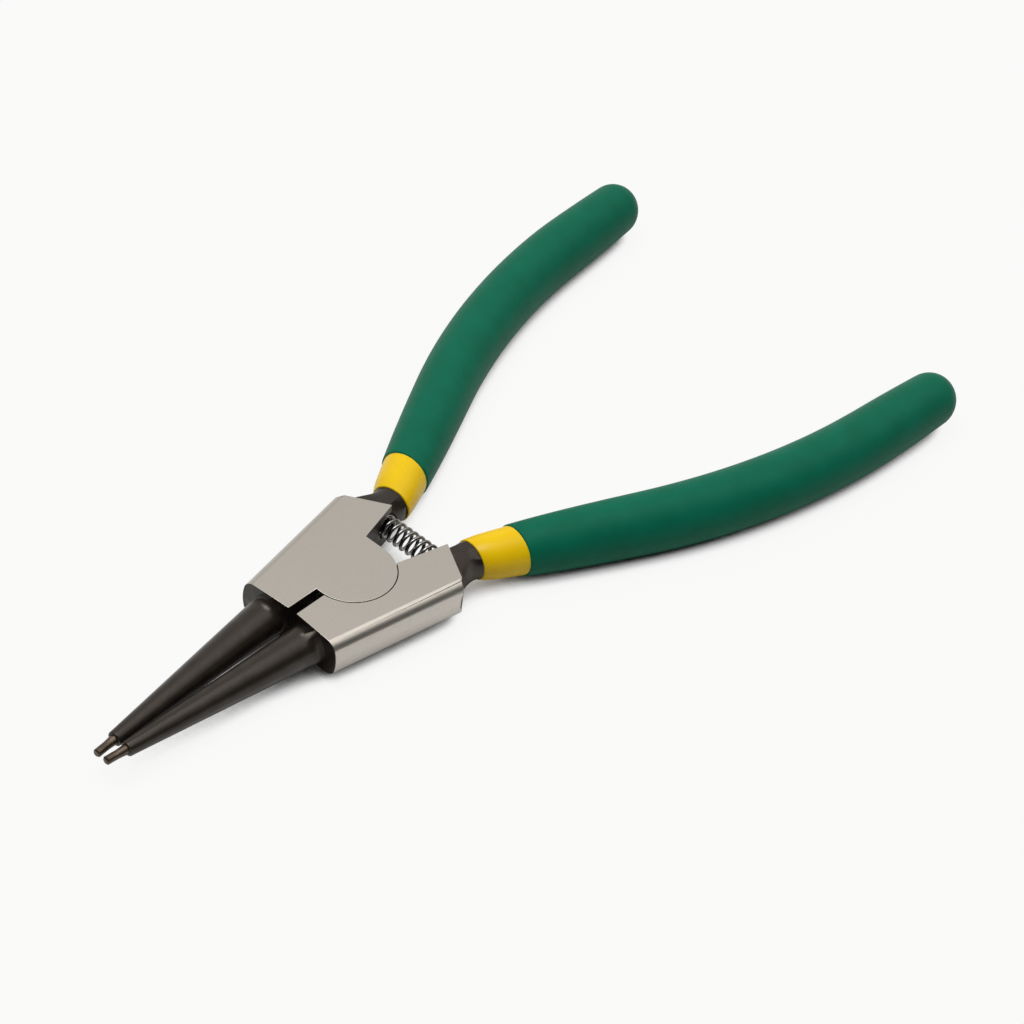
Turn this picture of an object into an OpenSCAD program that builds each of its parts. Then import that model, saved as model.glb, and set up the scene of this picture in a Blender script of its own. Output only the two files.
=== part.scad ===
// Circlip pliers with straight tips for rings on shafts.
// X runs from the handles to the tips, Z is the pivot's axis, and the origin is the pivot's centre.
// Both halves are the same forging: one is the other turned over about the X axis.
// The levers don't cross, so squeezing the handles spreads the tips.

/* [Head] */
// Thickness of the lap joint, face to face
head_t = 7.8; // [7:0.1:9]
// Distance from the pivot to the inner end of the front face
front_x = 14.4; // [13.5:0.1:16]
// How much further forward the front face lies at its outer end
front_skew = 0.65; // [0:0.05:1]
// Half width of the head at the front face
front_half_w = 10.15; // [9.6:0.05:11]
// Angle of each ground side to the centre line
side_angle = 10.5; // [8:0.1:12]
// How far each side swells outward at mid thickness
side_bulge = 0.9; // [0.4:0.05:1.4]
// Distance from the pivot to the inner rear corner of a head plate
rear_x = 16.85; // [16:0.05:18]
// Lean of the rear edge from square
rear_lean = 30.4; // [24:0.1:34]
// Radius of the outer rear corner at mid thickness
rear_corner_r = 1.5; // [0.8:0.1:2.2]
// How far the trim of that corner cuts into the head's face
corner_trim_w = 0.75; // [0.4:0.05:1]
// Slope of the trim below the head's face
corner_trim_angle = 48; // [40:1:56]
// How far the bevel along a side's edge cuts into the head's face, at the front
bevel_front_w = 0.1; // [0.05:0.01:0.12]
// How far that bevel cuts into the face at the rear
bevel_rear_w = 0.42; // [0.3:0.02:0.5]
// Slope of the bevel below the head's face
bevel_angle = 42; // [36:1:50]

/* [Lap joint] */
// Radius of the round cheek that turns in the other half's recess
disc_r = 7.75; // [7.2:0.05:8.2]
// Radial gap between the cheek and the recess
lap_arc_gap = 0.15; // [0.1:0.01:0.2]
// Gap between the two cheeks' inner faces
lap_face_gap = 0.06; // [0.04:0.01:0.1]
// Width of the slot between the halves, in front of the pivot
slot_w = 1.9; // [1.2:0.1:2.6]
// Half width of the spring gap at its root
vee_root_half = 4.2; // [3.8:0.05:4.8]
// Angle of each wall of the spring gap to the centre line
vee_angle = 15; // [13:0.5:17]

/* [Rivet] */
// Radius of the rivet's shank
rivet_r = 2.8; // [2.4:0.1:3.2]
// Radius of the spun heads, ground flush with the faces
rivet_head_r = 3.8; // [3.4:0.1:4.4]
// Depth of the cone under each head
rivet_head_depth = 1.0; // [0.6:0.1:1.4]
// Radial running gap in the half that turns on the rivet
rivet_gap = 0.04; // [0.02:0.01:0.08]

/* [Jaws] */
// Length of a jaw, front face to end
jaw_len = 38.6; // [34:0.1:42]
// Radius of a jaw at the front face
jaw_root_r = 3.72; // [3.3:0.02:3.8]
// Radius of a jaw at its end
jaw_end_r = 1.35; // [1.2:0.05:1.6]
// Gap between the ends of the closed jaws
jaw_gap = 0.14; // [0.1:0.01:0.3]
// Radius of the fillet between a jaw and the front face
jaw_fillet_r = 1.1; // [0.6:0.1:1.6]
// Width of the bevel round a jaw's end
jaw_bevel_w = 0.15; // [0.1:0.05:0.3]

/* [Tip pins] */
// Diameter of a pin's free end, which enters the ring's eye
tip_d = 1.5; // [1.3:0.05:1.7]
// Diameter of a pin where it leaves the jaw
tip_root_d = 1.8; // [1.75:0.05:2]
// How far a pin stands out of the jaw
tip_reach = 4.08; // [3:0.02:5]
// Length of the taper next to the jaw
tip_taper_len = 1.7; // [1:0.1:2]
// Depth of the pin's hole in the jaw
tip_socket_depth = 8; // [6:0.5:12]
// Bevel on the pin's end
tip_bevel_w = 0.2; // [0.1:0.05:0.3]

/* [Handle curve] */
// Distance behind the pivot where the handle's centre line starts
tang_x = 15.5; // [15:0.1:16.5]
// Distance of that point from the tool's centre line
tang_y = 7.36; // [7:0.02:8]
// Angle of the straight front stretch to the centre line
tang_lean = 26.2; // [24:0.1:28]
// Length of the straight front stretch
straight_len = 37.9; // [30:0.1:46]
// Radius of the bow
bow_r = 144.4; // [120:0.2:170]
// Angle of the straight rear stretch to the centre line
end_lean = 4.55; // [2:0.05:8]
// Length of the centre line, from its start to the centre of the round end
handle_len = 108; // [96:0.5:120]

/* [Tang] */
// Half width of the bare neck
neck_half_w = 3.56; // [3.3:0.02:3.7]
// Half thickness of the bare neck
neck_half_t = 3.56; // [3.3:0.02:3.7]
// Half width of the tang at its widest, inside the coats
core_half_w = 4.56; // [4.2:0.02:4.8]
// Half thickness of the tang at its thickest, inside the coats
core_half_t = 4.81; // [4.4:0.01:5]
// How much the tang loses from each side towards its end
core_end_loss = 0.5; // [0:0.05:0.8]
// Length over which the neck runs out of the head
neck_len = 6.0; // [5.6:0.1:6.4]
// Half width of the neck's foot on the outer side
neck_foot_w = 6.7; // [5.5:0.1:7.2]

/* [Dipped coats] */
// Where the first coat starts, along the centre line
under_start = 5.4; // [5:0.1:6]
// Thickness of the first coat over the tang
under_t = 0.4; // [0.3:0.02:0.6]
// Length of the band of the first coat that stays in view
band_len = 8.3; // [6:0.1:12]
// Thickness of the second coat at its front rim
grip_rim_t = 0.25; // [0.15:0.01:0.4]
// Thickness of the second coat over most of the handle
grip_t = 0.78; // [0.5:0.02:1.2]

/* [Return spring] */
// Outside diameter of the coil
spring_od = 4.4; // [4:0.1:4.8]
// Diameter of the wire
wire_d = 0.65; // [0.5:0.05:0.75]
// Number of turns, both closed ends included
spring_turns = 11.5; // [9:0.5:12]
// Distance of the spring behind the pivot
spring_x = 15.4; // [14.6:0.1:15.8]
// Depth of the pocket for each end of the spring
pocket_depth = 1.9; // [1.2:0.1:2.4]
// Gap round the spring in its pocket
pocket_gap = 0.25; // [0.15:0.05:0.4]

/* [Hidden] */
$fn = 96;
overrun = 1;
per_turn = 360;
right_angle = 90;
head_half_t = head_t / 2;
slot_half = slot_w / 2;
recess_r = disc_r + lap_arc_gap;

// Plan of one half's head. Its corners lie where the lines of its edges meet.
front_inner = [front_x, slot_half];
front_outer = [front_x + front_skew, front_half_w];
front_dir = unit(front_outer - front_inner);
side_dir = [-cos(side_angle), sin(side_angle)];
side_out = [sin(side_angle), cos(side_angle)];
vee_root = [-disc_r, vee_root_half];
rear_inner = [-rear_x, vee_wall_y(rear_x)];
rear_dir = [sin(rear_lean), cos(rear_lean)];
rear_outer = meet(front_outer, side_dir, rear_inner, rear_dir);
side_len = norm(rear_outer - front_outer);

// The side's swell is an arc over the head's thickness, and the rear corner is rounded in plan.
bulge_line = front_outer + side_bulge * side_out;
bulge_front = meet(front_inner, front_dir, bulge_line, side_dir);
bulge_rear = meet(bulge_line, side_dir, rear_inner, rear_dir);
bulge_r = (head_half_t * head_half_t + side_bulge * side_bulge) / (2 * side_bulge);
rear_corner_run = rear_corner_r / tan(acos(side_dir * rear_dir) / 2);
rear_corner_side = bulge_rear - side_dir * rear_corner_run;
rear_corner_back = bulge_rear - rear_dir * rear_corner_run;
rear_corner_centre = rear_corner_side - side_out * rear_corner_r;
corner_out = unit(side_out + [-cos(rear_lean), sin(rear_lean)]);
corner_trim_reach = corner_trim_w + 2 * side_bulge + overrun;
bevel_turn = atan((bevel_rear_w - bevel_front_w) / side_len);
bevel_reach = bevel_rear_w + side_bulge + overrun;

// A jaw starts on the front face, flush with the slot, and its axis leans in to the closed tips.
jaw_root = front_inner + front_dir * jaw_root_r / front_dir.y;
jaw_end = [front_x + jaw_len, jaw_gap / 2 + jaw_end_r];
jaw_axis_len = norm(jaw_end - jaw_root);
jaw_lean = atan((jaw_root.y - jaw_end.y) / (jaw_end.x - jaw_root.x));
jaw_taper = (jaw_root_r - jaw_end_r) / jaw_axis_len;
jaw_bury = front_skew + slot_half;
fillet_r_out = jaw_root_r - jaw_taper * jaw_fillet_r + jaw_fillet_r / cos(atan(jaw_taper));
fillet_tangent = [fillet_r_out - jaw_fillet_r * cos(atan(jaw_taper)),
                  jaw_fillet_r - jaw_fillet_r * sin(atan(jaw_taper))];
tip_r = tip_d / 2;
tip_root_r = tip_root_d / 2;

// Start of the handle's centre line, and the head's inner rear corner seen from there
tang_start = [-tang_x, tang_y];
tang_dir = [-cos(tang_lean), sin(tang_lean)];
tang_out = [sin(tang_lean), cos(tang_lean)];
corner_run = (rear_inner - tang_start) * tang_dir;
corner_in = (tang_start - rear_inner) * tang_out;
bow_angle = tang_lean - end_lean;
bow_len = bow_r * bow_angle * PI / 180;
grip_start = under_start + band_len;
facet_share = tan(22.5);

// Shares of the handle's length and exponents that shape its girth
core_rise_power = 9;
grip_rise_share = 0.56;
grip_rise_power = 2.1;
end_taper_share = 0.78;
neck_flare_power = 2.2;
neck_facet_power = 1.2;
neck_foot_facet_share = 0.95;
neck_root_share = 0.2;
facet_fade_power = 2;
flat_crown_share = 0.015;
rim_share = 0.75;

// Bearings round the section at which the neck's eight edges fade out under the coats
fade_turns = [14, 42, 112.5, 157.5, 202.5, 247.5, 318, 346];

// Stations along the handle, sides of its coats, and how far the tang's foot reaches into the head
neck_bury = corner_run * 2;
neck_steps = 8;
core_steps = 16;
coat_steps = 17;
cap_steps = 5;
coat_sides = 20;

// The spring lies across the gap, its ends in the pockets.
spring_r = (spring_od - wire_d) / 2;
wire_r = wire_d / 2;
pocket_r = spring_od / 2 + pocket_gap;
pocket_floor_y = vee_wall_y(spring_x) + pocket_depth;
spring_end_gap = pocket_gap / 4;
spring_half_len = pocket_floor_y - spring_end_gap - wire_r;
closed_pitch = wire_d + spring_end_gap;
open_turns = spring_turns - 2;
open_pitch = 2 * (spring_half_len - closed_pitch) / open_turns;
wire_sides = 6;
turn_steps = 18;

function unit(v) = v / norm(v);
function clamp(v, low, high) = max(low, min(high, v));
// Point where the line through p along u meets the line through q along v
function meet(p, u, q, v) = p + u * (((q.x - p.x) * v.y - (q.y - p.y) * v.x) / (u.x * v.y - u.y * v.x));
function vee_wall_y(x) = vee_root_half + (x - disc_r) * tan(vee_angle);

// The handle's centre line: a straight stretch, the bow and a straight stretch
function heading(s) = tang_lean - bow_angle * clamp((s - straight_len) / bow_len, 0, 1);
function centre(s) =
    let (turn = heading(s), front = min(s, straight_len), rear = max(0, s - straight_len - bow_len))
    tang_start + front * tang_dir
    + bow_r * [sin(turn) - sin(tang_lean), cos(turn) - cos(tang_lean)]
    + rear * [-cos(end_lean), sin(end_lean)];
// A point of the section at s, so far out from the tool's centre line and so far up
function section_point(s, out, up) =
    let (c = centre(s), turn = heading(s)) [c.x + out * sin(turn), c.y + out * cos(turn), up];

// Girth of the steel along the handle
function along(s) = clamp((s - under_start) / (handle_len - under_start), 0, 1);
function rise(share, power) = 1 - pow(1 - clamp(share, 0, 1), power);
function end_loss(s) = core_end_loss * pow(max(0, along(s) - end_taper_share) / (1 - end_taper_share), 2);
function core_w(s) =
    neck_half_w + (core_half_w - neck_half_w) * rise(along(s), core_rise_power) - end_loss(s);
function core_t(s) =
    neck_half_t + (core_half_t - neck_half_t) * rise(along(s), core_rise_power) - end_loss(s);

// The neck leaves the head wide on its outer side, and inside it starts at the spring gap's corner.
function neck_fade(s, power) = pow(1 - clamp(s / neck_len, 0, 1), power);
function neck_out(s) = core_w(s) + (neck_foot_w - neck_half_w) * neck_fade(s, neck_flare_power);
function neck_flat(s) =
    core_w(s) * facet_share
    + (neck_foot_w * neck_foot_facet_share - neck_half_w * facet_share) * neck_fade(s, neck_facet_power);
function neck_in(s) =
    s < corner_run ? corner_in * neck_root_share
    : corner_in + (core_w(s) - corner_in) * clamp((s - corner_run) / (under_start - corner_run), 0, 1);
// Eight edges leave the head. They and the crowned middles of the flats between them fade to an oval.
function neck_edges(s) =
    let (t = core_t(s), flat_up = t * facet_share, out = neck_out(s), in = neck_in(s))
    [[out, -flat_up], [neck_flat(s), -t], [-in * facet_share, -t], [-in, -flat_up],
     [-in, flat_up], [-in * facet_share, t], [neck_flat(s), t], [out, flat_up]];
function tang_ring(s) =
    let (edges = neck_edges(s), n = len(edges), fade = pow(clamp(s / under_start, 0, 1), facet_fade_power))
    [for (i = [0 : n - 1], on_flat = [false, true])
        let (next = (i + 1) % n,
             p = on_flat ? (edges[i] + edges[next]) / 2 * (1 + flat_crown_share) : edges[i],
             step = fade_turns[next] - fade_turns[i],
             a = fade_turns[i] + (on_flat ? (step < 0 ? step + per_turn : step) / 2 : 0),
             q = p * (1 - fade) + [core_w(s) * cos(a), -core_t(s) * sin(a)] * fade)
        section_point(s, q.x, q.y)];

// Rings of a coat, which is the tang's girth and a thickness that can grow along the handle
function grip_over(s) =
    under_t + grip_rim_t + (grip_t - grip_rim_t)
    * rise((s - grip_start) / ((handle_len - grip_start) * grip_rise_share), grip_rise_power);
function coat_over(s, with_grip) = with_grip ? grip_over(s) : under_t;
function coat_ring(s, half_w, half_t) =
    [for (i = [0 : coat_sides - 1])
        let (a = per_turn * i / coat_sides) section_point(s, half_w * cos(a), -half_t * sin(a))];
function coat_rings(start, rim, with_grip) =
    let (end_over = coat_over(handle_len, with_grip), end_w = core_w(handle_len) + end_over,
         end_t = core_t(handle_len) + end_over,
         rim_over = coat_over(start, with_grip) - rim * (1 - rim_share))
    concat(
        [coat_ring(start, core_w(start) + rim_over, core_t(start) + rim_over)],
        [for (i = [0 : coat_steps])
            let (s = start + rim + (handle_len - start - rim) * i / coat_steps,
                 over = coat_over(s, with_grip))
            coat_ring(s, core_w(s) + over, core_t(s) + over)],
        [for (i = [1 : cap_steps])
            let (a = right_angle * i / (cap_steps + rim_share))
            coat_ring(handle_len + end_w * sin(a), end_w * cos(a), end_t * cos(a))]);

// Closed solid through rings of equal count, listed from one end to the other
module loft(rings) {
    n = len(rings[0]);
    last = len(rings) - 1;
    polyhedron(
        points = [for (ring = rings, p = ring) p],
        faces = concat(
            [[for (i = [0 : n - 1]) i]],
            [[for (i = [n - 1 : -1 : 0]) last * n + i]],
            [for (r = [0 : last - 1], i = [0 : n - 1])
                let (j = (i + 1) % n) [r * n + i, (r + 1) * n + i, (r + 1) * n + j, r * n + j]]));
}

// Turns one half's piece over into its place on the other half
module turned_over() {
    rotate([180, 0, 0]) children();
}

// Runs a section drawn across a side along it, with the head's outside on the section's negative x
module along_side(turn, length) {
    rotate(180 - side_angle + turn) rotate([right_angle, 0, right_angle])
        translate([0, 0, -overrun]) linear_extrude(length + 2 * overrun) children();
}

module head_plan(outer_front, outer_rear) {
    polygon([front_inner, outer_front, outer_rear, rear_inner, vee_root,
             [-disc_r / 2, vee_wall_y(disc_r / 2)], [0, slot_half]]);
}

// The head's plan at mid thickness, with its rounded rear corner
module swollen_plan() {
    difference() {
        head_plan(bulge_front, bulge_rear);
        difference() {
            polygon([rear_corner_centre, rear_corner_side, 2 * bulge_rear - rear_corner_centre,
                     rear_corner_back]);
            translate(rear_corner_centre) circle(rear_corner_r);
        }
    }
}

module side_swell() {
    translate(front_outer) along_side(0, side_len) intersection() {
        translate([bulge_r - side_bulge, 0]) circle(bulge_r);
        translate([-side_bulge, -head_half_t]) square([2 * side_bulge, head_t]);
    }
}

module side_bevel() {
    translate(front_outer - side_out * bevel_front_w) along_side(bevel_turn, side_len)
        polygon([[0, head_half_t], [-bevel_reach, head_half_t - bevel_reach * tan(bevel_angle)],
                 [-bevel_reach, head_half_t + overrun], [0, head_half_t + overrun]]);
}

// Slanting trim of the outer rear corner
module corner_trim() {
    translate(rear_outer - corner_out * corner_trim_w)
        rotate([right_angle, 0, atan2(corner_out.y, corner_out.x)])
            linear_extrude(head_t, center = true)
                polygon([[0, head_half_t],
                         [corner_trim_reach, head_half_t - corner_trim_reach * tan(corner_trim_angle)],
                         [corner_trim_reach, head_half_t + overrun], [0, head_half_t + overrun]]);
}

module head_body() {
    difference() {
        intersection() {
            union() {
                translate([0, 0, -head_half_t]) linear_extrude(head_t) head_plan(front_outer, rear_outer);
                side_swell();
            }
            translate([0, 0, -head_half_t - overrun]) linear_extrude(head_t + 2 * overrun) swollen_plan();
        }
        side_bevel();
        mirror([0, 0, 1]) side_bevel();
        corner_trim();
        mirror([0, 0, 1]) corner_trim();
    }
}

// The round cheek below mid thickness, with the straight heel behind it
module cheek() {
    translate([0, 0, -head_half_t]) linear_extrude(head_half_t - lap_face_gap / 2) {
        circle(disc_r);
        translate([-disc_r, 0]) square([disc_r, vee_root_half]);
    }
}

module jaw_place() {
    translate(jaw_root) rotate([0, right_angle, -jaw_lean]) children();
}

module jaw_cone() {
    jaw_place() rotate_extrude()
        polygon([[0, -jaw_bury], [jaw_root_r + jaw_taper * jaw_bury, -jaw_bury],
                 [jaw_end_r + jaw_taper * jaw_bevel_w, jaw_axis_len - jaw_bevel_w],
                 [jaw_end_r - jaw_bevel_w, jaw_axis_len], [0, jaw_axis_len]]);
}

module jaw_fillet() {
    intersection() {
        jaw_place() rotate_extrude() difference() {
            polygon([[jaw_root_r / 2, -jaw_bury], [fillet_r_out, -jaw_bury], [fillet_r_out, jaw_fillet_r],
                     fillet_tangent, [jaw_root_r / 2, fillet_tangent.y]]);
            translate([fillet_r_out, jaw_fillet_r]) circle(jaw_fillet_r);
        }
        translate([front_x - jaw_bury, slot_half, -head_half_t])
            cube([jaw_bury + front_skew + 2 * jaw_fillet_r, front_half_w, head_t]);
    }
}

// Steel of the handle: an eight-sided neck that runs from inside the head into an oval bar
module tang() {
    loft(concat(
        [tang_ring(-neck_bury)],
        [for (i = [0 : neck_steps - 1]) tang_ring(corner_run + (neck_len - corner_run) * i / neck_steps)],
        [for (i = [0 : core_steps]) tang_ring(neck_len + (handle_len - neck_len) * i / core_steps)]));
}

// Hole for the rivet, with the cones that its heads fill
module rivet_form(gap, past_faces) {
    top = head_half_t + past_faces;
    rotate_extrude()
        polygon([[0, -top], [rivet_head_r + gap, -top], [rivet_head_r + gap, -head_half_t],
                 [rivet_r + gap, -head_half_t + rivet_head_depth],
                 [rivet_r + gap, head_half_t - rivet_head_depth],
                 [rivet_head_r + gap, head_half_t], [rivet_head_r + gap, top], [0, top]]);
}

// One forged half: jaw, head with its lap cheek, and tang
module half_lever(gap) {
    difference() {
        union() {
            head_body();
            cheek();
            jaw_cone();
            jaw_fillet();
            tang();
        }
        translate([0, 0, -lap_face_gap / 2]) cylinder(r = recess_r, h = head_t);
        rivet_form(gap, overrun);
        translate([-spring_x, 0, 0]) rotate([-right_angle, 0, 0]) cylinder(r = pocket_r, h = pocket_floor_y);
        jaw_place() translate([0, 0, jaw_axis_len - tip_socket_depth])
            cylinder(r = tip_root_r, h = tip_socket_depth + overrun);
    }
}

module tip_pin() {
    jaw_place() translate([0, 0, jaw_axis_len]) rotate_extrude()
        polygon([[0, -tip_socket_depth], [tip_root_r, -tip_socket_depth], [tip_root_r, 0],
                 [tip_r, tip_taper_len], [tip_r, tip_reach - tip_bevel_w],
                 [tip_r - tip_bevel_w, tip_reach], [0, tip_reach]]);
}

module undercoat_body() {
    loft(coat_rings(under_start, under_t, false));
}

module undercoat() {
    difference() {
        undercoat_body();
        tang();
    }
}

module grip() {
    difference() {
        loft(coat_rings(grip_start, grip_rim_t, true));
        undercoat_body();
    }
}

// Distance of the wire's centre along the spring after t turns: closed end turns, open turns between
function wire_run(t) =
    -spring_half_len + closed_pitch * min(t, 1) + open_pitch * clamp(t - 1, 0, open_turns)
    + closed_pitch * max(0, t - 1 - open_turns);
function wire_ring(t) =
    let (a = per_turn * t, c = [-spring_x + spring_r * cos(a), wire_run(t), spring_r * sin(a)],
         e = [cos(a), 0, sin(a)])
    [for (i = [0 : wire_sides - 1])
        let (b = per_turn * i / wire_sides) c + wire_r * (cos(b) * e + sin(b) * [0, 1, 0])];

module right_lever() {
    color("silver") turned_over() half_lever(0);
}

module left_lever() {
    color("silver") half_lever(rivet_gap);
}

module pivot_rivet() {
    color("silver") rivet_form(0, 0);
}

module return_spring() {
    steps = spring_turns * turn_steps;
    color("gainsboro") loft([for (i = [0 : steps]) wire_ring(spring_turns * i / steps)]);
}

module right_tip_pin() {
    color("rosybrown") turned_over() tip_pin();
}

module left_tip_pin() {
    color("rosybrown") tip_pin();
}

module right_undercoat() {
    color("gold") turned_over() undercoat();
}

module left_undercoat() {
    color("gold") undercoat();
}

module right_grip() {
    color("seagreen") turned_over() grip();
}

module left_grip() {
    color("seagreen") grip();
}

right_lever();
left_lever();
pivot_rivet();
return_spring();
right_tip_pin();
left_tip_pin();
right_undercoat();
left_undercoat();
right_grip();
left_grip();
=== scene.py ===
from math import copysign, cos, hypot, pi, radians, sin, sqrt
import bmesh
import bpy
from mathutils import Matrix, Vector


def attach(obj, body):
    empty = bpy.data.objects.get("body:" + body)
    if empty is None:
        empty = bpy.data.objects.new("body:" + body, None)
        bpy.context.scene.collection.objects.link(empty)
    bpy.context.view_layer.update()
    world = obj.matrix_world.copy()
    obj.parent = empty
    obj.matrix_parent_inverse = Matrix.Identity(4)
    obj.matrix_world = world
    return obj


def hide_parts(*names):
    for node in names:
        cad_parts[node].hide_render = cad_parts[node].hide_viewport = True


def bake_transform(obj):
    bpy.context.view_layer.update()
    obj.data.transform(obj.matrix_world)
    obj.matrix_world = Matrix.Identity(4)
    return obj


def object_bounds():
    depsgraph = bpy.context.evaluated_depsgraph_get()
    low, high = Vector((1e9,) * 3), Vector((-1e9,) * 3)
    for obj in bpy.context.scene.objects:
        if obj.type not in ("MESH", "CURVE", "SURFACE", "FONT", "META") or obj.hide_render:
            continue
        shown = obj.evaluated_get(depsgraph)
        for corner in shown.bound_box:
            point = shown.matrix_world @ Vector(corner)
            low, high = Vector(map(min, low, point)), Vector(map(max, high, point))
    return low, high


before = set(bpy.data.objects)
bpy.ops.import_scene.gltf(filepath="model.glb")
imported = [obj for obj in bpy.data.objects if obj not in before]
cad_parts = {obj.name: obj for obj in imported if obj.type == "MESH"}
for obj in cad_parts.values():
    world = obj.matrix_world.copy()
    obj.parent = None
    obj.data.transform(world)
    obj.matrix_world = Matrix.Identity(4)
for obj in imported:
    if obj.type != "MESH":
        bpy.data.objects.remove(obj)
cad_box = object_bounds()

# The two levers: one forging each, of tool steel, the second turned over on the first.
# After forging the plates of the head are ground bright on their faces and outer sides.
# Jaws, front faces, slot and necks keep their black oxide, and every edge is broken by hand.
mm = 0.001
plate_half_t = 3.9 * mm
side_front = Vector((15.05, 10.15)) * mm
side_angle = radians(10.5)
front_limit_x = 14.95 * mm
side_len = 26.3 * mm
side_bulge = 0.9 * mm
shoulder_w = 1.25 * mm
shoulder_low_z = 2.35 * mm
shoulder_turn = (radians(15), radians(66))
shoulder_steps = 12
cutter_margin = 1.0 * mm
ground_depth = 0.03 * mm
side_depth = 1.4 * mm
side_facing_share = 0.2
rear_facing = -0.12
face_facing_share = 0.7
rivet_zone_r = 4.2 * mm
disc_zone_r = 8.1 * mm
lap_zone_z = 0.3 * mm
neck_front_x = -17.2 * mm
neck_rear_x = -24 * mm
neck_edge_run = 0.4 * mm
broken_edge = 0.09 * mm
neck_edge = 0.2 * mm
sharp_from = radians(25)
neck_fade_turn = radians(22.5)
flat_within = radians(0.25)
weld_within = 0.002 * mm
steel_light = (0.545, 0.520, 0.462)
steel_warm = (0.562, 0.512, 0.466)
steel_scratch = (0.44, 0.415, 0.37)
oxide_brown = (0.022, 0.0165, 0.0125)
oxide_black = (0.0085, 0.0062, 0.0048)
steel_cloud = (260, 260, 260)
oxide_cloud = (420, 420, 420)
blast_grain = (3200, 3200, 3200)


def put(tree, kind, inputs=None, **settings):
    """Adds a shader node. Each input is a value, or the output that feeds it."""
    made = tree.nodes.new("ShaderNode" + kind)
    for key, value in settings.items():
        setattr(made, key, value)
    for key, value in (inputs or {}).items():
        if isinstance(value, bpy.types.NodeSocket):
            tree.links.new(value, made.inputs[key])
        elif isinstance(value, tuple) and made.inputs[key].type == "RGBA":
            made.inputs[key].default_value = (*value, 1)
        else:
            made.inputs[key].default_value = value
    return made


def mixed(tree, share, first, second):
    """Colour between two colours, by a share that changes over the surface."""
    return put(tree, "Mix", {0: share, 6: first, 7: second}, data_type="RGBA").outputs[2]


def graded(tree, value, low, high, to_low, to_high):
    """Value moved from one span to another and clamped there."""
    spans = {"Value": value, 1: low, 2: high, 3: to_low, 4: to_high}
    return put(tree, "MapRange", spans).outputs[0]


def speckle(tree, place, per_metre, detail=2.0):
    """Soft noise with so many grains to the metre along each axis."""
    run = put(tree, "VectorMath", {0: place, 1: per_metre}, operation="MULTIPLY").outputs[0]
    return put(tree, "TexNoise", {"Vector": run, "Scale": 1.0, "Detail": detail}).outputs["Fac"]


def effect(name, inputs):
    """Shader group for one finish, with a colour, a roughness and a height as its outputs."""
    tree = bpy.data.node_groups.new(name, "ShaderNodeTree")
    for label, kind in inputs.items():
        tree.interface.new_socket(label, in_out="INPUT", socket_type="NodeSocket" + kind)
    for label, kind in {"Colour": "Color", "Roughness": "Float", "Height": "Float"}.items():
        tree.interface.new_socket(label, in_out="OUTPUT", socket_type="NodeSocket" + kind)
    taken = tree.nodes.new("NodeGroupInput").outputs
    given = tree.nodes.new("NodeGroupOutput").inputs
    return tree, taken, given


def ground_steel_effect():
    """Belt-ground steel: long fine scratches over a faint cloud of two tints."""
    inputs = {"Place": "Vector", "Scratches": "Vector", "Light": "Color", "Warm": "Color",
              "Scratch": "Color", "Smooth": "Float", "Rough": "Float"}
    tree, taken, given = effect("Ground steel", inputs)
    fine = speckle(tree, taken["Place"], taken["Scratches"], 4.0)
    cloud = speckle(tree, taken["Place"], steel_cloud, 3.0)
    tint = mixed(tree, graded(tree, cloud, 0.35, 0.65, 0, 1), taken["Light"], taken["Warm"])
    cut = graded(tree, fine, 0.28, 0.48, 0.55, 0)
    tree.links.new(mixed(tree, cut, tint, taken["Scratch"]), given["Colour"])
    rough = graded(tree, fine, 0.3, 0.7, taken["Rough"], taken["Smooth"])
    tree.links.new(rough, given["Roughness"])
    tree.links.new(fine, given["Height"])
    return tree


def black_oxide_effect():
    """Black oxide over a forged and shot-blasted skin: browner where it is thin."""
    inputs = {"Place": "Vector", "Thin": "Color", "Thick": "Color", "Smooth": "Float", "Rough": "Float"}
    tree, taken, given = effect("Black oxide", inputs)
    blast = speckle(tree, taken["Place"], blast_grain, 3.0)
    cloud = speckle(tree, taken["Place"], oxide_cloud, 4.0)
    share = graded(tree, cloud, 0.32, 0.68, 0, 1)
    tree.links.new(mixed(tree, share, taken["Thick"], taken["Thin"]), given["Colour"])
    rough = graded(tree, cloud, 0.3, 0.7, taken["Rough"], taken["Smooth"])
    tree.links.new(rough, given["Roughness"])
    tree.links.new(blast, given["Height"])
    return tree


def finished(name, group, values, bump, constants):
    """Material whose colour, roughness and bump come from a group, over the piece's own rest shape."""
    made = bpy.data.materials.new(name)
    made.use_nodes = True
    tree = made.node_tree
    shader = tree.nodes["Principled BSDF"]
    for label, value in constants.items():
        shader.inputs[label].default_value = value
    place = put(tree, "TexCoord").outputs["Object"]
    look = tree.nodes.new("ShaderNodeGroup")
    look.node_tree = group
    for label, value in values.items():
        look.inputs[label].default_value = (*value, 1) if look.inputs[label].type == "RGBA" else value
    tree.links.new(place, look.inputs["Place"])
    lift = put(tree, "Bump", {"Height": look.outputs["Height"], "Strength": 1.0, "Distance": bump})
    tree.links.new(look.outputs["Colour"], shader.inputs["Base Color"])
    tree.links.new(look.outputs["Roughness"], shader.inputs["Roughness"])
    tree.links.new(lift.outputs["Normal"], shader.inputs["Normal"])
    return made


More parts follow.
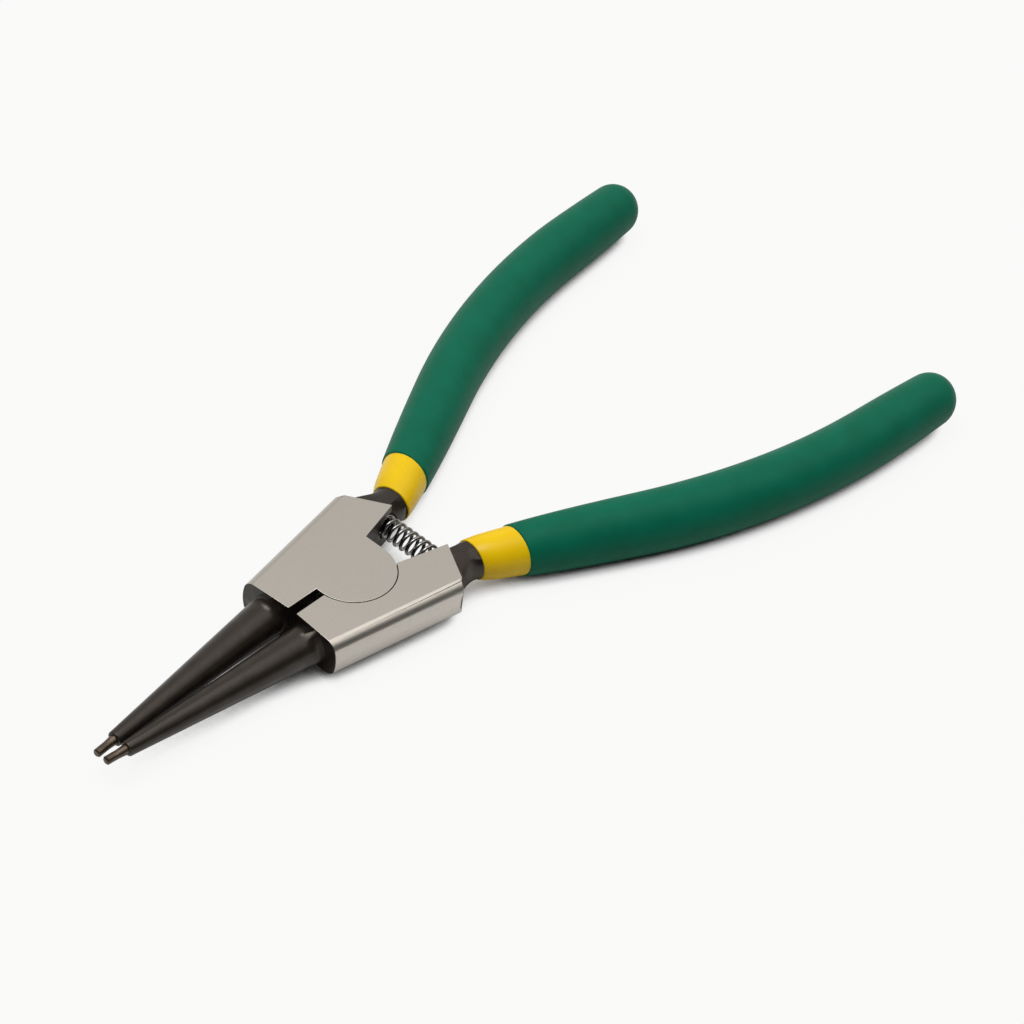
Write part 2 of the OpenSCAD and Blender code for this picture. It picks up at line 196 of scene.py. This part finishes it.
ground_steel = ground_steel_effect()
steel_tints = {"Light": steel_light, "Warm": steel_warm, "Scratch": steel_scratch}
ground_face = finished(
    "ground_face", ground_steel,
    {**steel_tints, "Scratches": (7000, 900, 2000), "Smooth": 0.34, "Rough": 0.42},
    0.001 * mm, {"Metallic": 1.0})
ground_side = finished(
    "ground_side", ground_steel,
    {**steel_tints, "Scratches": (500, 2600, 7000), "Smooth": 0.32, "Rough": 0.40},
    0.001 * mm, {"Metallic": 1.0})
oxide_skin = black_oxide_effect()
black_oxide = finished(
    "black_oxide", oxide_skin,
    {"Thin": oxide_brown, "Thick": oxide_black, "Smooth": 0.27, "Rough": 0.38},
    0.008 * mm, {"Specular IOR Level": 0.5, "Specular Tint": (1.0, 0.90, 0.80, 1.0)})


def edge_share(edge):
    """Share of the widest break that a lever's edge gets, by where it lies."""
    middle = (edge.verts[0].co + edge.verts[1].co) / 2
    run = edge.verts[1].co - edge.verts[0].co
    reach = hypot(middle.x, middle.y)
    if edge.calc_face_angle(0) < sharp_from or reach < rivet_zone_r or middle.x < neck_rear_x:
        return 0
    if middle.x < neck_front_x:
        along_neck = abs(run.z) < run.length / 2 and run.length > neck_edge_run
        return min((edge.calc_face_angle(0) - neck_fade_turn) / neck_fade_turn, 1) if along_neck else 0
    inside_lap = abs(middle.z) < lap_zone_z and reach < disc_zone_r
    concave = edge.calc_face_angle_signed(0) < 0
    return 0 if inside_lap or concave else broken_edge / neck_edge


def lever_finish(middle, normal):
    """Slot of the finish on a face of a lever: 0 ground face, 1 ground side, 2 black oxide."""
    out = normal.x * sin(side_angle) + copysign(1, middle.y) * normal.y * cos(side_angle)
    outside = ((middle.x - side_front.x) * sin(side_angle)
               + (abs(middle.y) - side_front.y) * cos(side_angle))
    if abs(normal.z) > face_facing_share and abs(middle.z) > plate_half_t - ground_depth:
        return 0
    on_side = out > side_facing_share and outside > -side_depth and normal.x > rear_facing
    if on_side and middle.x < front_limit_x:
        return 1
    return 2


def swell(z):
    """How far the side stands out at a height, which is an arc over the head's thickness."""
    bulge_r = (plate_half_t ** 2 + side_bulge ** 2) / (2 * side_bulge)
    return side_bulge - bulge_r + sqrt(bulge_r ** 2 - z ** 2)


def shoulder_profile():
    """Rounded shoulder between a face and a side, as (out, up) points with a lead at each end."""
    top = Vector((-shoulder_w, plate_half_t))
    low = Vector((swell(shoulder_low_z), shoulder_low_z))
    leaving, meeting = (Vector((cos(turn), -sin(turn))) for turn in shoulder_turn)
    cross = leaving.cross(meeting)
    bend = top + leaving * ((low - top).cross(meeting) / cross)
    points = [top.lerp(bend, t).lerp(bend.lerp(low, t), t)
              for t in (step / shoulder_steps for step in range(shoulder_steps + 1))]
    return [top - leaving * cutter_margin, *points, low + meeting * cutter_margin]


def shoulder_cutter(side):
    """Two bars that mill the shoulders of a head's outer side, above and below."""
    shape = bmesh.new()
    run = Vector((-cos(side_angle), side * sin(side_angle), 0))
    out = Vector((sin(side_angle), side * cos(side_angle), 0))
    start = Vector((side_front.x, side * side_front.y, 0)) - run * cutter_margin
    profile = shoulder_profile()
    reach = 3 * cutter_margin
    profile += [Vector((reach, profile[-1].y)), Vector((reach, plate_half_t + reach)),
                Vector((profile[0].x, plate_half_t + reach))]
    for up in (1, -1):
        ends = []
        for far in (0, side_len + 2 * cutter_margin):
            base = start + run * far
            ends.append([shape.verts.new(base + out * p.x + Vector((0, 0, up * p.y))) for p in profile])
        shape.faces.new(ends[0])
        shape.faces.new(ends[1][::-1])
        for i, near in enumerate(ends[0]):
            j = (i + 1) % len(profile)
            shape.faces.new((near, ends[1][i], ends[1][j], ends[0][j]))
    bmesh.ops.recalc_face_normals(shape, faces=shape.faces)
    bars = bpy.data.meshes.new("shoulder_cutter")
    shape.to_mesh(bars)
    shape.free()
    cutter = bpy.data.objects.new("shoulder_cutter", bars)
    bpy.context.scene.collection.objects.link(cutter)
    return cutter


def applied(piece):
    """Makes the piece's modifiers part of its mesh."""
    graph = bpy.context.evaluated_depsgraph_get()
    piece.data = bpy.data.meshes.new_from_object(piece.evaluated_get(graph))
    piece.modifiers.clear()


def forged_lever(node, body, side):
    """Lever made from its solid's own faces, with soft shoulders, broken edges and its finishes."""
    shape = bmesh.new()
    shape.from_mesh(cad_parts[node].data)
    bmesh.ops.remove_doubles(shape, verts=shape.verts, dist=weld_within)
    rough_mesh = bpy.data.meshes.new(node + "_blank")
    shape.to_mesh(rough_mesh)
    shape.free()
    lever = bpy.data.objects.new(node + "_forging", rough_mesh)
    bpy.context.scene.collection.objects.link(lever)
    milling = lever.modifiers.new("shoulders", "BOOLEAN")
    milling.operation = "DIFFERENCE"
    milling.solver = "EXACT"
    milling.object = shoulder_cutter(side)
    applied(lever)
    bpy.data.objects.remove(bpy.data.objects["shoulder_cutter"])
    shape = bmesh.new()
    shape.from_mesh(lever.data)
    bmesh.ops.remove_doubles(shape, verts=shape.verts, dist=weld_within)
    bmesh.ops.dissolve_limit(shape, angle_limit=flat_within, verts=shape.verts, edges=shape.edges)
    weights = shape.edges.layers.float.new("bevel_weight_edge")
    for edge in shape.edges:
        edge[weights] = edge_share(edge) if edge.is_manifold else 0
    shape.to_mesh(lever.data)
    shape.free()
    breaks = lever.modifiers.new("broken_edges", "BEVEL")
    breaks.limit_method = "WEIGHT"
    breaks.width = neck_edge
    breaks.segments = 3
    breaks.use_clamp_overlap = False
    breaks.miter_outer = "MITER_ARC"
    applied(lever)
    lever.data.materials.clear()
    for finish in (ground_face, ground_side, black_oxide):
        lever.data.materials.append(finish)
    for face in lever.data.polygons:
        face.material_index = lever_finish(face.center, face.normal)
        face.use_smooth = True
    shading = lever.modifiers.new("even_shading", "WEIGHTED_NORMAL")
    shading.weight = 100
    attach(lever, body)
    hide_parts(node)


forged_lever("right_lever", "right_half", -1)
forged_lever("left_lever", "left_half", 1)

# The pivot rivet: a steel pin whose heads are spun into countersinks on both faces.
# It is ground flush in the same pass as the faces, so its grain runs on from theirs.
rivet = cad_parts["pivot_rivet"]
rivet.data.materials.clear()
rivet.data.materials.append(ground_face)

# The tip pins: hard round pins pressed into the jaws' ends, tempered to a bronze brown.
# The ring's eyes rub their ends bright, so the brown is thin and uneven there.
pin_bronze = (0.145, 0.112, 0.085)
pin_dark = (0.040, 0.028, 0.020)
tempered_pin = finished(
    "tempered_pin", oxide_skin,
    {"Thin": pin_bronze, "Thick": pin_dark, "Smooth": 0.26, "Rough": 0.42},
    0.004 * mm, {"Metallic": 0.85})
for node in ("right_tip_pin", "left_tip_pin"):
    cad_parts[node].data.materials.clear()
    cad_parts[node].data.materials.append(tempered_pin)

# The return spring: bright drawn wire coiled with a closed turn at each end.
# It stands across the gap behind the pivot, its ends in drilled pockets, and holds the jaws shut.
spring_x = 15.4 * mm
coil_r = 1.875 * mm
wire_r = 0.325 * mm
pocket_floor_y = 8.15 * mm
end_room = 0.16 * mm
turns = 11.5
turn_steps = 36
wire_sides = 14
closed_pitch = 2 * wire_r + 0.05 * mm
spring_reach = pocket_floor_y - end_room - wire_r
open_turns = turns - 2
open_pitch = 2 * (spring_reach - closed_pitch) / open_turns
small_turn = 0.01
wire_light = (0.34, 0.335, 0.33)
wire_warm = (0.30, 0.29, 0.28)
wire_dull = (0.13, 0.125, 0.12)


def skinned(name, rings, closed_tube=False):
    """Mesh through rings of equal count, capped at both ends or joined end to end."""
    made = bpy.data.meshes.new(name)
    n, rows = len(rings[0]), len(rings)
    faces = []
    for row in range(rows if closed_tube else rows - 1):
        low, high = row * n, (row + 1) % rows * n
        faces += [(low + i, low + (i + 1) % n, high + (i + 1) % n, high + i) for i in range(n)]
    if not closed_tube:
        faces += [tuple(range(n))[::-1], tuple((rows - 1) * n + i for i in range(n))]
    made.from_pydata([point for ring in rings for point in ring], [], faces)
    made.update()
    for face in made.polygons:
        face.use_smooth = len(face.vertices) == 4
    return made


def wire_run(t):
    """Height of the wire's centre along the spring after t turns."""
    middle = min(max(t - 1, 0), open_turns)
    ends = min(t, 1) + max(0, t - 1 - open_turns)
    return -spring_reach + closed_pitch * ends + open_pitch * middle


def wire_ring(t):
    """Section of the wire after t turns, square to its run."""
    turn = 2 * pi * t
    out = Vector((cos(turn), 0, sin(turn)))
    rise = (wire_run(t + small_turn) - wire_run(t - small_turn)) / (2 * small_turn)
    run = Vector((-sin(turn) * 2 * pi * coil_r, rise, cos(turn) * 2 * pi * coil_r)).normalized()
    up = out.cross(run)
    middle = Vector((-spring_x, wire_run(t), 0)) + out * coil_r
    return [middle + (out * cos(a) + up * sin(a)) * wire_r
            for a in (2 * pi * i / wire_sides for i in range(wire_sides))]


rows = round(turns * turn_steps)
spring = bpy.data.objects.new(
    "coil_spring", skinned("coil_spring", [wire_ring(turns * i / rows) for i in range(rows + 1)]))
bpy.context.scene.collection.objects.link(spring)
spring.data.materials.append(finished(
    "bright_wire", ground_steel,
    {"Light": wire_light, "Warm": wire_warm, "Scratch": wire_dull, "Scratches": (2500, 2500, 2500),
     "Smooth": 0.16, "Rough": 0.26},
    0.002 * mm, {"Metallic": 1.0}))
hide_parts("return_spring")
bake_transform(spring)

# The undercoats: each tang's first dip, a glossy yellow vinyl that covers it from neck to end.
# Only a band at the front stays in view. Its rim is a soft roll, as the dip drew back when it set.
tang_x = 15.5 * mm
tang_y = 7.36 * mm
tang_lean = radians(26.2)
straight_len = 37.9 * mm
bow_r = 144.4 * mm
end_lean = radians(4.55)
handle_len = 108 * mm
neck_half_w = 3.56 * mm
neck_half_t = 3.56 * mm
core_half_w = 4.56 * mm
core_half_t = 4.81 * mm
core_end_loss = 0.5 * mm
core_rise_power = 9
end_taper_share = 0.78
under_start = 5.4 * mm
under_t = 0.4 * mm
under_in = -0.1 * mm
rim_t_share = 0.3
rim_fade = 3 * mm
band_len = 8.3 * mm
dip_start = 5.1 * mm
dip_slant = 0.30
dip_fade = (12 * mm, 34 * mm)
bow_len = bow_r * (tang_lean - end_lean)
tang_start = Vector((-tang_x, tang_y))
tang_dir = Vector((-cos(tang_lean), sin(tang_lean)))
coat_sides = 72
coat_rows = 150
cap_rows = 16
rim_rows = 9
yellow = (0.93, 0.615, 0.004)
yellow_deep = (0.90, 0.575, 0.003)
vinyl_cloud = (210, 210, 210)
yellow_rim_len = 0.15 * mm


def clamped(share):
    """Share kept from 0 to 1."""
    return min(max(share, 0.0), 1.0)


def heading(s):
    """Angle of the handle's centre line to the tool's, at a run of s from its start."""
    return tang_lean - (tang_lean - end_lean) * clamped((s - straight_len) / bow_len)


def centre(s):
    """Point of the handle's centre line: a straight stretch, the bow and a straight stretch."""
    turn = heading(s)
    bow = Vector((sin(turn) - sin(tang_lean), cos(turn) - cos(tang_lean))) * bow_r
    rear = max(0.0, s - straight_len - bow_len) * Vector((-cos(end_lean), sin(end_lean)))
    return tang_start + min(s, straight_len) * tang_dir + bow + rear


def along(s):
    """Share of the steel under the coats that lies before s."""
    return clamped((s - under_start) / (handle_len - under_start))


def rise(share, power):
    """Quick rise from 0 that levels out at 1."""
    return 1 - (1 - clamped(share)) ** power


def girth(s):
    """Half width and half thickness of the steel under the coats."""
    growth = rise(along(s), core_rise_power)
    loss = core_end_loss * (max(0.0, along(s) - end_taper_share) / (1 - end_taper_share)) ** 2
    return (neck_half_w + (core_half_w - neck_half_w) * growth - loss,
            neck_half_t + (core_half_t - neck_half_t) * growth - loss)


def section(s, over, side, shrink=1.0):
    """Oval ring round the steel. The side is 1 for the left half and -1 for the right.

    The handles were dipped upright, so the rims slant across them and lie further back outside.
    """
    slant = dip_slant * (1 - clamped((s - dip_fade[0]) / (dip_fade[1] - dip_fade[0])))
    ring = []
    for i in range(coat_sides):
        a = 2 * pi * i / coat_sides
        place = s + slant * girth(s)[0] * cos(a)
        half_w, half_t = girth(place)
        middle, turn = centre(place), heading(place)
        out, up = (half_w + over) * shrink * cos(a), (half_t + over) * shrink * sin(a)
        x, y = middle.x + out * sin(turn), middle.y + out * cos(turn)
        ring.append(Vector((x, side * y, side * up)))
    return ring


def coat_rings(start, thickness, side, rim_len, under):
    """Rings of a closed sleeve: its front rim, its outside, its round end and back up its inside."""
    rings = []
    for i in range(rim_rows):
        a = pi / 2 * i / rim_rows
        s = start + rim_len * (1 - cos(a))
        rings.append(section(s, under + (thickness(s) - under) * sin(a), side))
    for i in range(coat_rows + 1):
        s = start + rim_len + (handle_len - start - rim_len) * i / coat_rows
        rings.append(section(s, thickness(s), side))
    end_w = girth(handle_len)[0]
    turns_in = [pi / 2 * i / (cap_rows + 0.5) for i in range(1, cap_rows + 1)]
    for a in turns_in:
        over = thickness(handle_len)
        rings.append(section(handle_len + (end_w + over) * sin(a), over, side, cos(a)))
    for a in turns_in[::-1]:
        rings.append(section(handle_len + (end_w + under) * sin(a), under, side, cos(a)))
    for i in range(coat_rows, -1, -1):
        rings.append(section(start + (handle_len - start) * i / coat_rows, under, side))
    return rings


def vinyl_effect():
    """Dipped vinyl: a cloudy colour and a skin of fine pits that breaks up its gloss."""
    inputs = {"Place": "Vector", "Tone": "Color", "Deep": "Color", "Pits": "Vector",
              "Smooth": "Float", "Rough": "Float"}
    tree, taken, given = effect("Dipped vinyl", inputs)
    pits = speckle(tree, taken["Place"], taken["Pits"], 3.0)
    cloud = speckle(tree, taken["Place"], vinyl_cloud, 4.0)
    share = graded(tree, cloud, 0.3, 0.7, 0, 1)
    tree.links.new(mixed(tree, share, taken["Tone"], taken["Deep"]), given["Colour"])
    rough = graded(tree, pits, 0.3, 0.7, taken["Rough"], taken["Smooth"])
    tree.links.new(rough, given["Roughness"])
    tree.links.new(pits, given["Height"])
    return tree


def dipped_coat(name, rings, finish, node, body):
    """One coat as a closed sleeve of its own vinyl."""
    coat = bpy.data.objects.new(name, skinned(name, rings, closed_tube=True))
    bpy.context.scene.collection.objects.link(coat)
    shape = bmesh.new()
    shape.from_mesh(coat.data)
    bmesh.ops.recalc_face_normals(shape, faces=shape.faces)
    shape.to_mesh(coat.data)
    shape.free()
    coat.data.materials.append(finish)
    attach(coat, body)
    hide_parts(node)


def under_over(s):
    """Thickness of the first coat at s, drawn thin at its rim."""
    return under_t * (rim_t_share + (1 - rim_t_share) * rise((s - dip_start) / rim_fade, 2))


vinyl = vinyl_effect()
yellow_vinyl = finished(
    "yellow_vinyl", vinyl,
    {"Tone": yellow, "Deep": yellow_deep, "Pits": (700, 700, 700), "Smooth": 0.24, "Rough": 0.32},
    0.006 * mm, {"Specular IOR Level": 0.2})
halves = {"right": ("right_half", -1), "left": ("left_half", 1)}
for half, (body, side) in halves.items():
    dipped_coat(
        half + "_yellow_coat",
        coat_rings(dip_start, under_over, side, yellow_rim_len, under_in),
        yellow_vinyl, half + "_undercoat", body)

# The grips: the second dip, a thicker green vinyl with a satin skin, over all but the yellow band.
# It thickens from a thin front rim towards the hand, and ends in a full round bead.
grip_start = dip_start + band_len
grip_rim_t = 0.25 * mm
grip_t = 0.78 * mm
grip_rise_share = 0.56
grip_rise_power = 2.1
green = (0.0022, 0.148, 0.084)
green_deep = (0.0018, 0.128, 0.070)
green_rim_len = 0.3 * mm


def grip_over(s):
    """Thickness of both coats together at s."""
    share = (s - grip_start) / ((handle_len - grip_start) * grip_rise_share)
    return under_t + grip_rim_t + (grip_t - grip_rim_t) * rise(share, grip_rise_power)


green_vinyl = finished(
    "green_vinyl", vinyl,
    {"Tone": green, "Deep": green_deep, "Pits": (1900, 1900, 1900), "Smooth": 0.40, "Rough": 0.56},
    0.02 * mm, {"Specular IOR Level": 0.1})
for half, (body, side) in halves.items():
    dipped_coat(
        half + "_green_coat",
        coat_rings(grip_start, grip_over, side, green_rim_len, under_t / 2),
        green_vinyl, half + "_grip", body)

# The studio: a white sheet under the tool, in a dark room with a broad soft source behind it,
# a narrower one above that lights the shoulders, and one lamp.
# The camera stands ahead of the tool, above it and to its left, and is rolled a little.
floor_z = cad_box[0].z
floor_half = 3.0
floor_white = (0.60, 0.60, 0.595)
# contact_reach and the clear spans set a painted contact shade: where the paper's ambient occlusion is
# low, its plain white gives way to the lit paper
contact_reach = 12 * mm
backdrop_white = (0.985, 0.985, 0.98)
seen_share = 0.92
seen_clear = (0.25, 0.45)
mirrored_share = 0.80
mirrored_clear = (0.40, 0.85)
rear_source_dir = Vector((-0.52, -0.42, 0.74)).normalized()
rear_source_spread = (0.15, 0.72)
rear_source_light = 0.62
top_source_dir = Vector((-0.44, 0.30, 0.85)).normalized()
top_source_spread = (0.86, 0.99)
top_source_light = 0.85
wall_light = 0.05
room_tint = (1.0, 0.985, 0.965)
lamp_size = 0.5
lamp_power = 4.4
lamp_place = Vector((0.12, -0.12, 0.88))
lamp_aim = Vector((-0.03, 0, 0))
camera_place = Vector((247.256, 215.074, 323.152)) * mm
camera_aim = Vector((-34.560, 6.369, 0)) * mm
camera_roll = radians(7.584)
camera_lens = 94.105
camera_sensor = 36

floor_mesh = bpy.data.meshes.new("floor")
corners = [(x * floor_half, y * floor_half, floor_z) for x, y in ((-1, -1), (1, -1), (1, 1), (-1, 1))]
floor_mesh.from_pydata(corners, [], [(0, 1, 2, 3)])
floor = bpy.data.objects.new("floor", floor_mesh)
bpy.context.scene.collection.objects.link(floor)
paper = bpy.data.materials.new("white_paper")
paper.use_nodes = True
tree = paper.node_tree
tree.nodes.remove(tree.nodes["Principled BSDF"])
rays = put(tree, "LightPath").outputs
mirrored = put(tree, "Math", {0: rays["Is Glossy Ray"], 1: rays["Is Transmission Ray"]},
               operation="MAXIMUM").outputs[0]
# Painted contact shade: near the tool the plain white fades by ambient occlusion, both in view and in
# the tool's reflections
open_sky = put(tree, "AmbientOcclusion", {"Distance": contact_reach}, samples=16).outputs["AO"]
shares = []
for ray_kind, clear_span, most in ((mirrored, mirrored_clear, mirrored_share),
                                   (rays["Is Camera Ray"], seen_clear, seen_share)):
    clear = graded(tree, open_sky, clear_span[0], clear_span[1], 0, most)
    shares.append(put(tree, "Math", {0: ray_kind, 1: clear}, operation="MULTIPLY").outputs[0])
share = put(tree, "Math", {0: shares[0], 1: shares[1]}, operation="MAXIMUM").outputs[0]
lit = put(tree, "BsdfDiffuse", {"Color": floor_white}).outputs[0]
plain = put(tree, "Emission", {"Color": backdrop_white}).outputs[0]
surface = put(tree, "MixShader", {0: share, 1: lit, 2: plain}).outputs[0]
tree.links.new(surface, tree.nodes["Material Output"].inputs["Surface"])
floor_mesh.materials.append(paper)

studio = bpy.data.worlds.new("studio")
bpy.context.scene.world = studio
studio.use_nodes = True
tree = studio.node_tree
tree.nodes.remove(tree.nodes["Background"])
ray = put(tree, "TexCoord").outputs["Generated"]
sources = []
for aim, spread, light in ((rear_source_dir, rear_source_spread, rear_source_light),
                           (top_source_dir, top_source_spread, top_source_light)):
    facing = put(tree, "VectorMath", {0: ray, 1: aim}, operation="DOT_PRODUCT").outputs["Value"]
    sources.append(put(tree, "MapRange", {"Value": facing, 1: spread[0], 2: spread[1], 3: 0.0, 4: light},
                       interpolation_type="SMOOTHSTEP").outputs[0])
glow = put(tree, "Math", {0: sources[0], 1: sources[1]}).outputs[0]
glow = put(tree, "Math", {0: glow, 1: wall_light}).outputs[0]
room = put(tree, "Background", {"Color": room_tint, "Strength": glow}).outputs[0]
white = put(tree, "Background", {"Color": backdrop_white, "Strength": 1.0}).outputs[0]
camera_ray = put(tree, "LightPath").outputs["Is Camera Ray"]
world_surface = put(tree, "MixShader", {0: camera_ray, 1: room, 2: white}).outputs[0]
tree.links.new(world_surface, tree.nodes["World Output"].inputs["Surface"])

top_lamp = bpy.data.lights.new("top_softbox", "AREA")
top_lamp.shape = "SQUARE"
top_lamp.size = lamp_size
top_lamp.energy = lamp_power
lamp = bpy.data.objects.new("top_softbox", top_lamp)
bpy.context.scene.collection.objects.link(lamp)
lamp.location = lamp_place
lamp.rotation_euler = (lamp_aim - lamp.location).to_track_quat("-Z", "Y").to_euler()

lens = bpy.data.cameras.new("camera")
lens.sensor_width = camera_sensor
lens.lens = camera_lens
lens.clip_start = 0.01
camera = bpy.data.objects.new("camera", lens)
bpy.context.scene.collection.objects.link(camera)
towards = (camera_aim - camera_place).to_track_quat("-Z", "Y").to_matrix()
camera.matrix_world = (Matrix.Translation(camera_place)
                       @ (towards @ Matrix.Rotation(camera_roll, 3, "Z")).to_4x4())
bpy.context.scene.camera = camera
bpy.context.scene.view_settings.view_transform = "Standard"
